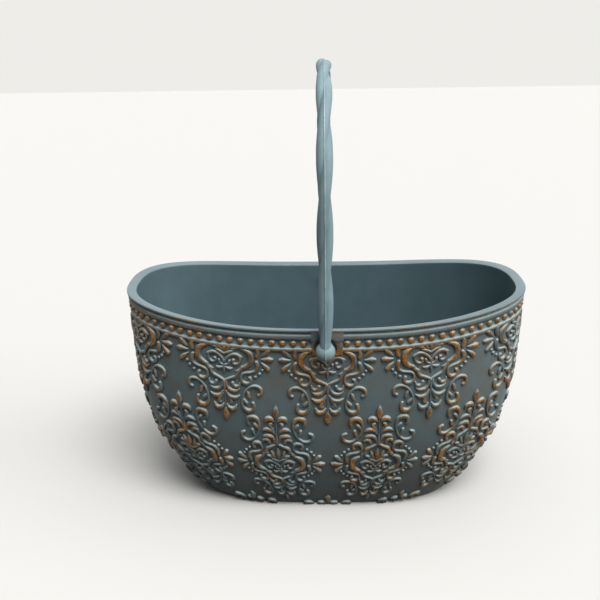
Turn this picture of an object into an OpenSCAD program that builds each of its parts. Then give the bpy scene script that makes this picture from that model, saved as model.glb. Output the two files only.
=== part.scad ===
// Oval basket with a swing handle, moulded in two pieces: a tub with a flat lip,
// band mouldings, a row of beads, rows of raised scrollwork and two pivot pads,
// and a twisted handle whose ball ends snap into the pads. Sizes are in
// millimetres. The origin is the middle of the base, +X runs along the length
// and +Z is up.

/* [Tub] */
// Length over the lip
rim_l = 350; // [310:5:400]
// Depth over the lip, front to back
rim_d = 186; // [170:2:210]
// Height of the rim at the two ends
rim_h = 192; // [174:2:214]
// How much lower the rim is at the middle of the long sides
rim_dip = 12; // [4:1:18]
// Squareness of the rim outline, 2 for an ellipse
rim_square = 2.6; // [2.2:0.1:3]
// Length of the base
base_l = 230; // [200:2:260]
// Depth of the base, front to back
base_d = 126; // [110:2:150]
// Squareness of the base outline
base_square = 3; // [2.2:0.1:3.4]
// Thickness of the wall
wall = 2.6; // [2:0.1:3.4]
// Thickness of the floor
floor_t = 3.2; // [2.4:0.1:5]
// Radius where the wall meets the base
base_edge = 3; // [1.5:0.5:5]

/* [Lip and bands] */
// Width of the flat top of the lip
lip_w = 8; // [7:0.5:10]
// Thickness of the lip at its edge
lip_t = 1.8; // [1.2:0.1:2.6]
// Radius of the lip's top edges
lip_edge = 0.6; // [0.3:0.1:0.8]
// Height of the groove under the lip
groove_h = 2.4; // [1.6:0.2:3.2]
// How far the groove lies inside the lip
groove_in = 2.6; // [2:0.1:3]
// Height of the ledge ring
ledge_h = 5; // [4:0.2:6]
// How far the ledge ring lies inside the lip
ledge_in = 0.8; // [0.5:0.1:1.4]
// Height of the band that carries the beads
band_h = 7; // [6.4:0.2:8]
// How far the band lies inside the lip
band_in = 3.2; // [2.6:0.1:3.6]
// Height of the ridge under the beads
ridge_h = 3.8; // [3:0.2:5]
// How far the ridge lies inside the lip
ridge_in = 1.6; // [1:0.1:2.2]
// How far the plain wall lies inside the lip at its top
field_in = 3.8; // [3:0.1:4.4]

/* [Beads] */
// Diameter of a bead
bead_dia = 6.2; // [4.6:0.2:6.6]
// How far a bead stands out from its band
bead_proud = 2.5; // [1.4:0.1:2.7]
// Spacing of the beads along the band
bead_pitch = 8.7; // [8:0.1:12]

/* [Scrollwork] */
// Medallions in one row round the tub
medallions = 10; // [8:2:12]
// Width of a medallion over its curls
medallion_w = 60; // [54:2:66]
// Height of a medallion, measured along the wall
medallion_h = 118; // [104:2:124]
// Length down the wall from the ridge to the middle of the upper row
upper_drop = 8; // [5:1:10]
// Length down the wall from the upper row to the lower one
row_pitch = 101.6; // [98:0.4:104]
// Length down the wall from the ridge to the leaves between the lower medallions
foot_drop = 151.4; // [148:0.2:154]
// Width of a raised stroke where it is widest
stroke_w = 4.6; // [3.4:0.2:5.4]
// How far a stroke stands out from the wall
stroke_proud = 1.6; // [1:0.1:2]
// How deep a stroke is rooted in the wall
stroke_root = 0.7; // [0.6:0.1:1]
// How far the medallions are drawn in at the ends of the tub
end_pull = 3.4; // [0:0.2:5]
// How far the rows are turned to the right of the front's middle
row_shift = 1.5; // [-4:0.5:4]

/* [Pivot pads] */
// Width of a pad over its head
pad_w = 26; // [24:1:32]
// Width of the two cheeks below the head
pad_cheek_w = 23.6; // [22:0.4:26]
// Height of a pad
pad_h = 20.4; // [18:0.4:24]
// Height of the pad's head
pad_head_h = 8; // [6:0.5:9]
// How far the face of a pad stands out past the ledge ring
pad_proud = 0.2; // [0.1:0.1:0.4]
// How much further in the cheeks lie
pad_step = 0.6; // [0.3:0.1:0.8]
// Diameter of the round recess behind a ball
recess_dia = 20; // [18.6:0.2:21]
// Height from a pivot up to the rim above it
pivot_drop = 15.5; // [14:0.5:18]

/* [Handle] */
// Height from the pivots to the top of the handle
handle_reach = 216; // [190:2:250]
// Diameter of one strand of the twist
strand_dia = 8.8; // [7.6:0.2:9.6]
// Distance between the middles of the two strands
strand_gap = 4.2; // [3:0.2:5]
// Half turns of the twist from neck to neck
half_twists = 9; // [5:2:13]
// Length of the plain neck above a ball
neck_l = 10; // [8:1:16]
// Gap between the twist and the lip that it passes
leg_gap = 0.5; // [0.4:0.1:1.5]
// Diameter of a ball end
ball_dia = 15.8; // [14.6:0.2:17.4]

/* [Snap studs] */
// Diameter of a stud
stud_dia = 8; // [6:0.5:9]
// Gap between a stud and its bore, all round
stud_gap = 0.3; // [0.2:0.05:0.5]
// Diameter of the collar between a ball and its recess
collar_dia = 12.4; // [11:0.2:14]
// Diameter of the snap head inside the wall
head_dia = 11; // [10:0.2:13]
// Length of the snap head
head_l = 4; // [3:0.5:6]
// Width of the slot that lets the head squeeze through its bore
slot_w = 1.6; // [1:0.2:2.2]
// Play of the collar and the head against the wall
side_gap = 0.3; // [0.2:0.05:0.5]

/* [Hidden] */

// One overrun serves all cuts
over = 1;

// Facets round the tub, and steps up its wall and its inside
round_steps = 72;
wall_steps = 12;
inner_steps = 9;

// Powers that shape the swell of the wall, the dip of the rim along the long
// sides and how fast that dip builds up the wall
swell_power = 3.3;
dip_power = 4;
rise_power = 2;

// Power that sets the rings of the inside closer near the floor
inner_power = 1.4;

bands_h = lip_t + groove_h + ledge_h + band_h + ridge_h;
field_top = rim_h - bands_h;
half_l = rim_l / 2;
half_d = rim_d / 2;
pivot_z = rim_h - rim_dip - pivot_drop;
leg_y = half_d + leg_gap + (strand_dia + strand_gap) / 2;

// Outline of the tub: a squared oval, one point for each step round
function signed_pow(v, p) = sign(v) * pow(abs(v), p);
function oval_point(a, b, square, t) =
    [a * signed_pow(cos(t), 2 / square), b * signed_pow(sin(t), 2 / square)];
function step_angle(i) = (i + 0.5) * 360 / round_steps;

// How much of the rim's swell and dip a height has
function swell(z) = 1 - pow(1 - z / rim_h, swell_power);
function dip_at(z) = rim_dip * pow(min(1, z / field_top), rise_power);
function square_at(z) = base_square + (rim_square - base_square) * z / rim_h;

// Half length and half depth of the plain wall at a height
function field_l(z) = base_l / 2 + (half_l - field_in - base_l / 2) * swell(z);
function field_d(z) = base_d / 2 + (half_d - field_in - base_d / 2) * swell(z);

// Horizontal thickness that gives the wall its thickness where it slopes
function wall_run(z) =
    let (rise = (half_l - field_in - base_l / 2) * (swell(z + wall) - swell(z)) / wall)
    wall * sqrt(1 + rise * rise);

// A ring of the tub: half length, half depth, squareness and height
function field_ring(z) = [field_l(z), field_d(z), square_at(z), z];
function rim_ring(inset, drop) = [half_l - inset, half_d - inset, rim_square, rim_h - drop];
function inner_ring(z) =
    let (top = [half_l - lip_w, half_d - lip_w], k = wall_run(z))
    [min(top[0], field_l(z) - k), min(top[1], field_d(z) - k), square_at(z), z];

function ring_points(r) =
    [for (i = [0:round_steps - 1])
        let (p = oval_point(r[0], r[1], r[2], step_angle(i)))
        [p[0], p[1], r[3] - dip_at(r[3]) * pow(abs(p[1]) / r[1], dip_power)]];

// Rings of the rounded edge at the base
base_rings = [for (a = [0:30:60])
    let (z = base_edge * (1 - cos(a)), k = base_edge * (1 - sin(a)))
    [field_l(z) - k, field_d(z) - k, square_at(z), z]];

// Rings of the plain wall, from the base edge up to the bands
wall_rings = [for (i = [0:wall_steps])
    field_ring(base_edge + (field_top - base_edge) * i / wall_steps)];

// A rounded moulding, given by its drop below the rim, its height and its insets
function moulding(drop, h, from_in, crest_in) =
    [for (a = [0:45:180])
        rim_ring(from_in + (crest_in - from_in) * sin(a), drop + h * (1 - cos(a)) / 2)];

groove_drop = lip_t + groove_h;
band_drop = groove_drop + ledge_h;
ridge_drop = band_drop + band_h;

// Rings of the mouldings, listed from the top down
band_rings = concat(
    [rim_ring(lip_w, 0), rim_ring(lip_edge, 0), rim_ring(0, lip_edge), rim_ring(0, lip_t)],
    [rim_ring(groove_in, lip_t)],
    moulding(groove_drop, ledge_h, groove_in, ledge_in),
    [rim_ring(band_in, band_drop + ledge_in / 2)],
    moulding(ridge_drop, ridge_h, band_in, ridge_in));

// Rings of the inside, from the floor up to the lip
inner_rings = [for (i = [0:inner_steps])
    let (share = pow(i / inner_steps, inner_power))
    inner_ring(floor_t + (rim_h - lip_t - floor_t) * share)];

band_count = len(band_rings);
tub_rings = concat(base_rings, wall_rings,
    [for (i = [band_count - 1:-1:0]) band_rings[i]],
    [for (i = [inner_steps:-1:0]) inner_rings[i]]);

// A closed body lofted through rings that have the same count of points
module loft(rings) {
    n = len(rings[0]);
    last = len(rings) - 1;
    sides = [for (k = [0:last - 1], i = [0:n - 1], lower = [true, false])
        let (a = k * n + i, b = k * n + (i + 1) % n)
        lower ? [a, a + n, b] : [b, a + n, b + n]];
    caps = [[for (i = [0:n - 1]) i], [for (i = [n - 1:-1:0]) last * n + i]];
    polyhedron([for (r = rings) each r], concat(sides, caps), convexity = 6);
}

// Length along the bead band, paired with the angle of its point
bead_inset = band_in + bead_dia / 2 - bead_proud;
bead_z = rim_h - band_drop - band_h / 2;
trace = [for (t = [0:1:90]) oval_point(half_l - bead_inset, half_d - bead_inset, rim_square, t)];
gaps = [for (i = [1:90]) norm(trace[i] - trace[i - 1])];
function run(n) = n == 0 ? 0 : gaps[n - 1] + run(n - 1);
trace_table = [for (t = [0:1:90]) [run(t), t]];
quarter = run(90);

// A whole number of beads fills each quarter, up to half a step from the pad
bead_span = quarter - pad_w / 2;
bead_count = round(bead_span / bead_pitch);
bead_step = bead_span / bead_count;

module bead_quarter() {
    for (i = [0:bead_count - 1]) {
        t = lookup((i + 0.5) * bead_step, trace_table);
        p = oval_point(half_l - bead_inset, half_d - bead_inset, rim_square, t);
        dip = rim_dip * pow(p[1] / (half_d - bead_inset), dip_power);
        translate([p[0], p[1], bead_z - dip]) sphere(d = bead_dia, $fn = 24);
    }
}

module beads() {
    for (x = [0, 1], y = [0, 1]) mirror([x, 0, 0]) mirror([0, y, 0]) bead_quarter();
}

// The frame of a medallion from its side down to its foot, a curl beside its
// stem, and the leaf at its tip, as places right of and below its middle in
// shares of half its width and half its height
frame_shares = [[0.7, 0], [0.5, 0.14], [0.33, 0.26], [0.03, 0.37]];
curl_shares = [[0.95, 0.53], [0.87, 0.41], [0.54, 0.5], [0.5, 0.76], [0.79, 0.78]];
leaf_shares = [[0, 0.8], [0, 0.89], [0, 1]];

// Width of a stroke from its first point to its last, in shares of the widest
frame_width_shares = [[0, 1], [0.35, 0.6], [1, 0.5]];
curl_width_shares = [[0, 0.4], [0.4, 0.6], [1, 0.8]];
leaf_width_shares = [[0, 0.3], [0.5, 1.1], [1, 0.2]];

// How a row is stretched above its middle, below it and more with the depth
plain_stretch_shares = [1, 1, 0];
lower_stretch_shares = [1.01, 0.94, 0.15];
foot_stretch_shares = [0.75, 0.75, 0];

// Point of the outer wall at an angle of the outline and a height
function wall_point(t, z) =
    let (p = oval_point(field_l(z), field_d(z), square_at(z), t))
    [p[0], p[1], z - dip_at(z) * pow(abs(p[1]) / field_d(z), dip_power)];

// Length round the wall from the middle of the front, paired with the angle
lap_z = field_top - ridge_h * 4;
lap_step = 360 / round_steps / 4;
lap_table = [for (t = -90, u = 0; t <= 270 + lap_step / 2;
    u = u + norm(wall_point(t + lap_step, lap_z) - wall_point(t, lap_z)), t = t + lap_step) [u, t]];
lap = lap_table[len(lap_table) - 1][0];
function lap_angle(u) = lookup(u - lap * floor(u / lap), lap_table);

// Length down the wall from the ridge, paired with the height, under an angle
drop_step = (field_top - base_edge) / wall_steps / 2;
function drop_table(t) =
    [for (z = field_top, s = 0; z > base_edge - drop_step / 2;
        s = s + norm(wall_point(t, z - drop_step) - wall_point(t, z)), z = z - drop_step) [s, z]];

// Point that stands out from the wall by a distance
function proud_point(t, z, out) =
    let (across = wall_point(t + lap_step, z) - wall_point(t - lap_step, z),
        up = wall_point(t, z + drop_step / 2) - wall_point(t, z - drop_step / 2),
        n = cross(across, up))
    wall_point(t, z) + n / norm(n) * out;

// Length down the wall of a place in a medallion, by the row's stretch
function row_drop(v, middle, stretch) =
    middle + (v < 0 ? v * stretch[0] : v * (stretch[1] - stretch[2] * v / (medallion_h / 2)));

// Angle of a place beside the middle of a medallion, drawn in at the tub's ends
end_ease = 1 - end_pull * 4 * PI / lap;
function row_angle(centre, u) =
    let (along = centre + u / end_ease)
    lap_angle(along - end_pull * sin(2 * 360 * along / lap) + row_shift);

// A raised stroke: a three-sided bar that follows its places and tapers
module stroke(places, widths, centre, drops, middle, stretch) {
    last = len(places) - 1;
    function cut(i) =
        let (width = lookup(i / last, widths),
            proud = stroke_proud * min(1, sqrt(width)),
            half = stroke_w / 2 * width * (1 + stroke_root / proud),
            way = places[min(last, i + 1)] - places[max(0, i - 1)],
            side = [way[1], -way[0]] / norm(way) * half)
        [for (k = [1, 0, -1])
            let (p = places[i] + side * k, z = lookup(row_drop(p[1], middle, stretch), drops))
            proud_point(row_angle(centre, p[0]), z, k == 0 ? proud : -stroke_root)];
    lowest = row_drop(max([for (p = places) p[1]]), middle, stretch) + stroke_w;
    if (lowest < drops[len(drops) - 1][0]) loft([for (i = [0:last]) cut(i)]);
}

// Places of a stroke on the right or left and on the lower or upper end
function places(shares, x, y) =
    [for (p = shares) [p[0] * (1 - 2 * x) * medallion_w / 2, p[1] * (1 - 2 * y) * medallion_h / 2]];

module leaf(y, centre, drops, middle, stretch) {
    stroke(places(leaf_shares, 0, y), leaf_width_shares, centre, drops, middle, stretch);
}

// A medallion, with the ends that it shows: 0 for the lower one and 1 for the upper
module medallion(number, middle, stretch, ends) {
    centre = number * lap / medallions;
    drops = drop_table(row_angle(centre, 0));
    for (y = ends) {
        for (x = [0, 1]) {
            stroke(places(frame_shares, x, y), frame_width_shares, centre, drops, middle, stretch);
            stroke(places(curl_shares, x, y), curl_width_shares, centre, drops, middle, stretch);
        }
        leaf(y, centre, drops, middle, stretch);
    }
}

// The ridge hides the upper half of the upper row, and the base all of the foot
// row but its leaves
module scrollwork() {
    foot_middle = foot_drop + foot_stretch_shares[0] * medallion_h / 2;
    for (i = [0:medallions - 1]) {
        centre = i * lap / medallions;
        medallion(i, upper_drop, plain_stretch_shares, [0]);
        medallion(i + 1 / 2, upper_drop + row_pitch, lower_stretch_shares, [0, 1]);
        leaf(1, centre, drop_table(row_angle(centre, 0)), foot_middle, foot_stretch_shares);
    }
}

// A pad has a wide head under the lip and two cheeks beside the ball
pad_top = rim_h - rim_dip - lip_t;
pad_root = lip_w - wall / 2;
pad_in = ledge_in - pad_proud;

module pad() {
    face_y = half_d - pad_in;
    head_z = pad_top - pad_head_h;
    translate([-pad_w / 2, -face_y, head_z])
        cube([pad_w, pad_root - pad_in, pad_head_h]);
    translate([-pad_cheek_w / 2, -face_y + pad_step, pad_top - pad_h])
        cube([pad_cheek_w, pad_root - pad_in - pad_step, pad_h - pad_head_h]);
}

// The round recess and the bore of one pivot
seat_in = field_in + side_gap;

module pivot_cut() {
    translate([0, 0, pivot_z]) rotate([90, 0, 0]) {
        translate([0, 0, half_d - seat_in]) cylinder(d = recess_dia, h = seat_in + over, $fn = 48);
        translate([0, 0, half_d - lip_w - over])
            cylinder(d = stud_dia + 2 * stud_gap, h = lip_w + 2 * over, $fn = 48);
    }
}

module tub() {
    color([0.37, 0.45, 0.48]) difference() {
        union() {
            loft([for (r = tub_rings) ring_points(r)]);
            beads();
            scrollwork();
            for (y = [0, 1]) mirror([0, y, 0]) pad();
        }
        for (y = [0, 1]) mirror([0, y, 0]) pivot_cut();
    }
}

// Path of the handle: a straight leg, a half circle and a straight leg
arch_z = pivot_z + handle_reach - strand_dia / 2 - leg_y;
leg_l = arch_z - pivot_z;
arc_l = PI * leg_y;
path_l = 2 * leg_l + arc_l;

// Angle round the arch at a length along the path, 0 on the front leg
function arch_angle(s) = min(180, max(0, (s - leg_l) / arc_l * 180));
function path_point(s) =
    let (a = arch_angle(s), up = s < leg_l ? s - leg_l : s > leg_l + arc_l ? leg_l + arc_l - s : 0)
    [-leg_y * cos(a), arch_z + leg_y * sin(a) + up];

// Turn of the strands at a length along the path: none on the necks
function twist_angle(s) =
    half_twists * 180 * min(1, max(0, (s - neck_l) / (path_l - 2 * neck_l)));

// Distance from the middle of the twist to its surface, by angle from the strands
function twist_radius(a) =
    let (c = strand_gap / 2, r = strand_dia / 2)
    c * abs(cos(a)) + sqrt(r * r - pow(c * sin(a), 2));

section_steps = 16;
handle_steps = 11 * half_twists;
handle_start = ball_dia / 8;

function twist_ring(s) =
    let (p = path_point(s), arch = arch_angle(s), turn = twist_angle(s))
    [for (i = [0:section_steps - 1])
        let (a = i * 360 / section_steps, r = twist_radius(a), x = r * sin(a + turn), n = r * cos(a + turn))
        [x, p[0] - n * cos(arch), p[1] + n * sin(arch)]];

handle_rings = [for (k = [0:handle_steps])
    twist_ring(handle_start + (path_l - 2 * handle_start) * k / handle_steps)];

// Ball, collar, stud and snap head of one end, pointing in along +Y from the ball
module ball_end() {
    seat = leg_y - half_d + seat_in;
    inner = leg_y - half_d + lip_w;
    translate([0, -leg_y, pivot_z]) rotate([-90, 0, 0]) difference() {
        union() {
            sphere(d = ball_dia, $fn = 48);
            cylinder(d = collar_dia, h = seat - side_gap, $fn = 48);
            cylinder(d = stud_dia, h = inner + side_gap + head_l / 2, $fn = 48);
            translate([0, 0, inner + side_gap])
                cylinder(d1 = head_dia, d2 = stud_dia - slot_w, h = head_l, $fn = 48);
        }
        translate([-slot_w / 2, -head_dia, inner - wall])
            cube([slot_w, 2 * head_dia, wall + side_gap + head_l + over]);
    }
}

module handle() {
    color([0.49, 0.58, 0.60]) union() {
        loft(handle_rings);
        for (y = [0, 1]) mirror([0, y, 0]) ball_end();
    }
}

tub();
handle();
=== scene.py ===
"""Looks of an oval moulded basket: a tub with a damask relief and a twisted swing handle.

Sizes are in millimetres and become metres as a mesh is placed. The origin is the middle of
the base, +X runs along the length, the front faces -Y and +Z is up.
"""

import logging
import math
from dataclasses import dataclass, field
from enum import Enum

import bmesh
import bpy
import numpy as np
from mathutils import Matrix, Vector

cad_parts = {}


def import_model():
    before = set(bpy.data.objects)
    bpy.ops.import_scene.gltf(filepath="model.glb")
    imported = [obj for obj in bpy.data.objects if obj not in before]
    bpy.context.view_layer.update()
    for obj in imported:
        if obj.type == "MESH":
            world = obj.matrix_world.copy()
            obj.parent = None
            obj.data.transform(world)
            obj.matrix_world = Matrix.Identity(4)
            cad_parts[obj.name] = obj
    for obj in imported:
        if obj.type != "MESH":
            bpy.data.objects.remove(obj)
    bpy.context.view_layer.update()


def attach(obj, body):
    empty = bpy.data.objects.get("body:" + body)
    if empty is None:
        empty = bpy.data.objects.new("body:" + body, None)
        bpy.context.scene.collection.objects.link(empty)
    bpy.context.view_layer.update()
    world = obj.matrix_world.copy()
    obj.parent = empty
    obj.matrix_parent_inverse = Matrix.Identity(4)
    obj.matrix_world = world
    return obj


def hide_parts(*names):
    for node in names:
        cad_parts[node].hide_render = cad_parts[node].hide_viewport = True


LOG = logging.getLogger("basket")
MM = 0.001
TURN = 2.0 * math.pi

Colour = tuple[float, float, float, float]
Triple = tuple[float, float, float]


def linear(red: float, green: float, blue: float) -> Colour:
    """Turns a screen colour of 0 to 255 into the shader's linear colour.

    Args:
        red: Red part of the screen colour.
        green: Green part.
        blue: Blue part.

    Returns:
        Linear red, green and blue, and an alpha of 1.
    """
    parts = (value / 255.0 for value in (red, green, blue))
    bent = tuple(v / 12.92 if v <= 0.04045 else ((v + 0.055) / 1.055) ** 2.4 for v in parts)
    return (*bent, 1.0)


def signed_power(values: np.ndarray, power: float | np.ndarray) -> np.ndarray:
    """Raises the size of each value to a power and keeps its sign."""
    return np.sign(values) * np.abs(values) ** power


def flowing(points: tuple[tuple[float, ...], ...], step: float) -> np.ndarray:
    """Runs a smooth curve through given points.

    Args:
        points: Two or more rows whose first two columns are a place on the flat ornament.
        step: Distance between the samples, in millimetres.

    Returns:
        Rows like the points', evenly close along the curve.
    """
    given = np.array(points, dtype=float)
    padded = np.vstack([2 * given[0] - given[1], given, 2 * given[-1] - given[-2]])
    rows = []
    for before, start, end, after in zip(padded, padded[1:], padded[2:], padded[3:]):
        count = max(2, round(float(np.hypot(*(end - start)[:2])) / step))
        share = np.arange(count)[:, None] / count
        rows.append(
            0.5
            * (
                2 * start
                + (end - before) * share
                + (2 * before - 5 * start + 4 * end - after) * share**2
                + (3 * start - before - 3 * end + after) * share**3
            )
        )
    return np.vstack([*rows, given[-1]])


# Mesh work


def put(verts: list[bmesh.types.BMVert], places: np.ndarray) -> None:
    """Moves vertices to the rows of an array, in order."""
    for vert, place in zip(verts, places):
        vert.co = place


def loft(bm: bmesh.types.BMesh, rings: list[np.ndarray]) -> list[list[bmesh.types.BMVert]]:
    """Extrudes a circle through rings of points and closes both ends.

    Args:
        bm: The mesh that grows.
        rings: Arrays of the same count of points, each going round the piece.

    Returns:
        The vertices of each ring, in the rings' own order.
    """
    made = bmesh.ops.create_circle(bm, cap_ends=False, radius=1.0, segments=len(rings[0]))
    current = sorted(made["verts"], key=lambda vert: math.atan2(vert.co.y, vert.co.x))
    edges = list({edge for vert in current for edge in vert.link_edges})
    put(current, rings[0])
    first_edges = edges
    rows = [current]
    for ring in rings[1:]:
        grown = bmesh.ops.extrude_edge_only(bm, edges=edges)["geom"]
        fresh = {item for item in grown if isinstance(item, bmesh.types.BMVert)}
        edges = [
            item
            for item in grown
            if isinstance(item, bmesh.types.BMEdge) and set(item.verts) <= fresh
        ]
        current = [
            next(twin for edge in vert.link_edges if (twin := edge.other_vert(vert)) in fresh)
            for vert in current
        ]
        put(current, ring)
        rows.append(current)
    bmesh.ops.edgeloop_fill(bm, edges=first_edges)
    bmesh.ops.edgeloop_fill(bm, edges=edges)
    return rows


def geometry(bm: bmesh.types.BMesh) -> list:
    """Returns everything in a mesh, as an operator takes it."""
    return [*bm.verts, *bm.edges, *bm.faces]


def cut_off(bm: bmesh.types.BMesh, point: Triple, outward: Triple) -> None:
    """Takes away what lies beyond a plane and closes the cut.

    Args:
        bm: The mesh.
        point: A point on the plane.
        outward: Direction in which the mesh is taken away.
    """
    cut = bmesh.ops.bisect_plane(
        bm, geom=geometry(bm), plane_co=point, plane_no=outward, clear_outer=True
    )["geom_cut"]
    edges = [item for item in cut if isinstance(item, bmesh.types.BMEdge)]
    if edges:
        bmesh.ops.edgeloop_fill(bm, edges=edges)


def add_copy(bm: bmesh.types.BMesh, parts: list, stretch: Triple) -> None:
    """Copies part of a mesh and scales the copy about the origin.

    Args:
        bm: The mesh.
        parts: The vertices, edges and faces to copy.
        stretch: Scale along X, Y and Z. A negative one mirrors the copy.
    """
    twin = bmesh.ops.duplicate(bm, geom=parts)["geom"]
    verts = [item for item in twin if isinstance(item, bmesh.types.BMVert)]
    bmesh.ops.scale(bm, vec=stretch, verts=verts)


def add_mesh(target: bmesh.types.BMesh, source: bmesh.types.BMesh) -> None:
    """Adds one mesh to another and frees it."""
    carrier = bpy.data.meshes.new("carrier")
    source.to_mesh(carrier)
    source.free()
    target.from_mesh(carrier)
    bpy.data.meshes.remove(carrier)


def soften(mesh: bpy.types.Mesh, limit: float) -> None:
    """Shades a mesh smooth and keeps the edges that bend more than a limit crisp.

    Args:
        mesh: The mesh.
        limit: Smallest angle of a crisp edge, in degrees.
    """
    bm = bmesh.new()
    bm.from_mesh(mesh)
    for face in bm.faces:
        face.smooth = True
    for edge in bm.edges:
        edge.smooth = edge.calc_face_angle(0.0) < math.radians(limit)
    bm.to_mesh(mesh)
    bm.free()


def make_piece(name: str, bm: bmesh.types.BMesh, crisp: float = 40.0) -> bpy.types.Object:
    """Turns a mesh in millimetres into a shown piece in metres.

    Args:
        name: Name of the piece.
        bm: Its mesh, which is freed.
        crisp: Smallest angle of an edge that stays crisp, in degrees.

    Returns:
        The new object, which sits at the origin.
    """
    bmesh.ops.scale(bm, vec=(MM, MM, MM), verts=bm.verts)
    bmesh.ops.recalc_face_normals(bm, faces=bm.faces)
    mesh = bpy.data.meshes.new(name)
    bm.to_mesh(mesh)
    bm.free()
    soften(mesh, crisp)
    piece = bpy.data.objects.new(name, mesh)
    bpy.context.scene.collection.objects.link(piece)
    return piece


def carve(
    piece: bpy.types.Object, cutter: bpy.types.Object, crisp: float = 40.0, merge: bool = False
) -> None:
    """Cuts one closed mesh out of another and keeps the result as the piece's mesh.

    Args:
        piece: The piece that is cut.
        cutter: The tool, which is removed.
        crisp: Smallest angle of an edge that stays crisp, in degrees.
        merge: Whether the piece's own overlapping parts become one body.
    """
    cut = piece.modifiers.new("carve", "BOOLEAN")
    cut.operation = "DIFFERENCE"
    cut.solver = "EXACT"
    cut.use_self = merge
    cut.object = cutter
    graph = bpy.context.evaluated_depsgraph_get()
    result = bpy.data.meshes.new_from_object(piece.evaluated_get(graph))
    piece.modifiers.clear()
    old = piece.data
    piece.data = result
    bpy.data.meshes.remove(old)
    bpy.data.objects.remove(cutter)
    result.name = piece.name
    soften(result, crisp)


def store(piece: bpy.types.Object, name: str, values: np.ndarray) -> None:
    """Keeps a number for each of a piece's vertices, which the finishes read."""
    layer = piece.data.attributes.new(name, "FLOAT", "POINT")
    layer.data.foreach_set("value", values)


def mark_upper(piece: bpy.types.Object) -> None:
    """Stores how far each part of a piece faces up, where the finish paints a highlight."""
    flat = np.empty(len(piece.data.vertices) * 3)
    piece.data.vertices.foreach_get("normal", flat)
    store(piece, "upper", np.clip(flat.reshape(-1, 3)[:, 2], 0.0, 1.0))


def places_of(piece: bpy.types.Object) -> np.ndarray:
    """Returns a piece's vertices as rows of X, Y and Z in millimetres."""
    flat = np.empty(len(piece.data.vertices) * 3)
    piece.data.vertices.foreach_get("co", flat)
    return flat.reshape(-1, 3) / MM


# Shader work


@dataclass(frozen=True)
class Wire:
    """A node's output that takes part in Python sums."""

    kit: "NodeKit"
    socket: bpy.types.NodeSocket | None

    def _sum(self, operation: str, first: object, second: object) -> "Wire":
        """Adds one Math node."""
        return self.kit.node("ShaderNodeMath", {"operation": operation}, {0: first, 1: second})

    def __add__(self, other: object) -> "Wire":
        """Adds."""
        return self._sum("ADD", self, other)

    def __radd__(self, other: object) -> "Wire":
        """Adds to a number."""
        return self._sum("ADD", other, self)

    def __sub__(self, other: object) -> "Wire":
        """Subtracts."""
        return self._sum("SUBTRACT", self, other)

    def __rsub__(self, other: object) -> "Wire":
        """Subtracts from a number."""
        return self._sum("SUBTRACT", other, self)

    def __mul__(self, other: object) -> "Wire":
        """Multiplies."""
        return self._sum("MULTIPLY", self, other)

    def __rmul__(self, other: object) -> "Wire":
        """Multiplies a number."""
        return self._sum("MULTIPLY", other, self)


@dataclass
class NodeKit:
    """Builds one material's nodes."""

    tree: bpy.types.NodeTree

    def node(
        self,
        kind: str,
        settings: dict[str, object] | None = None,
        inputs: dict[str | int, object] | None = None,
        output: str | int = 0,
    ) -> Wire:
        """Adds a node, then its settings, then its sockets' values or links.

        Args:
            kind: The node's type.
            settings: Its properties.
            inputs: Values or wires, by the name or number of the socket.
            output: Name or number of the output that is handed back.

        Returns:
            That output, with no socket where the node has none.
        """
        made = self.tree.nodes.new(kind)
        for name, value in (settings or {}).items():
            setattr(made, name, value)
        for name, value in (inputs or {}).items():
            if isinstance(value, Wire):
                self.tree.links.new(value.socket, made.inputs[name])
            else:
                made.inputs[name].default_value = value
        return Wire(self, made.outputs[output] if len(made.outputs) else None)

    def place(self) -> Wire:
        """Returns the piece's own coordinates."""
        return self.node("ShaderNodeTexCoord", output="Object")

    def stored(self, name: str) -> Wire:
        """Returns a number that the mesh carries for each vertex."""
        return self.node("ShaderNodeAttribute", {"attribute_name": name}, output="Fac")

    def cloud(self, where: Wire, scale: float, detail: float, rough: float = 0.55) -> Wire:
        """Returns noise of about 0 to 1 whose blotches are 1/scale metres wide."""
        return self.node(
            "ShaderNodeTexNoise",
            inputs={"Vector": where, "Scale": scale, "Detail": detail, "Roughness": rough},
            output="Fac",
        )

    def ease(self, value: Wire, low: float, high: float) -> Wire:
        """Returns a soft step from 0 at low to 1 at high."""
        return self.node(
            "ShaderNodeMapRange",
            {"interpolation_type": "SMOOTHSTEP"},
            {"Value": value, "From Min": low, "From Max": high},
        )

    def blend(self, share: object, first: object, second: object) -> Wire:
        """Mixes two colours."""
        return self.node("ShaderNodeMix", {"data_type": "RGBA"}, {0: share, 6: first, 7: second}, 2)

    def bumps(self, height: Wire, depth: float) -> Wire:
        """Returns a normal that follows a height, whose full step is depth metres."""
        return self.node(
            "ShaderNodeBump", inputs={"Height": height, "Distance": depth, "Strength": 1.0}
        )


def new_material(name: str) -> tuple[bpy.types.Material, NodeKit]:
    material = bpy.data.materials.new(name)
    material.use_nodes = True
    material.node_tree.nodes.clear()
    return material, NodeKit(material.node_tree)


def give_surface(kit: NodeKit, shader: Wire) -> None:
    """Links a shader to the material's output."""
    kit.node("ShaderNodeOutputMaterial", inputs={"Surface": shader})


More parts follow.
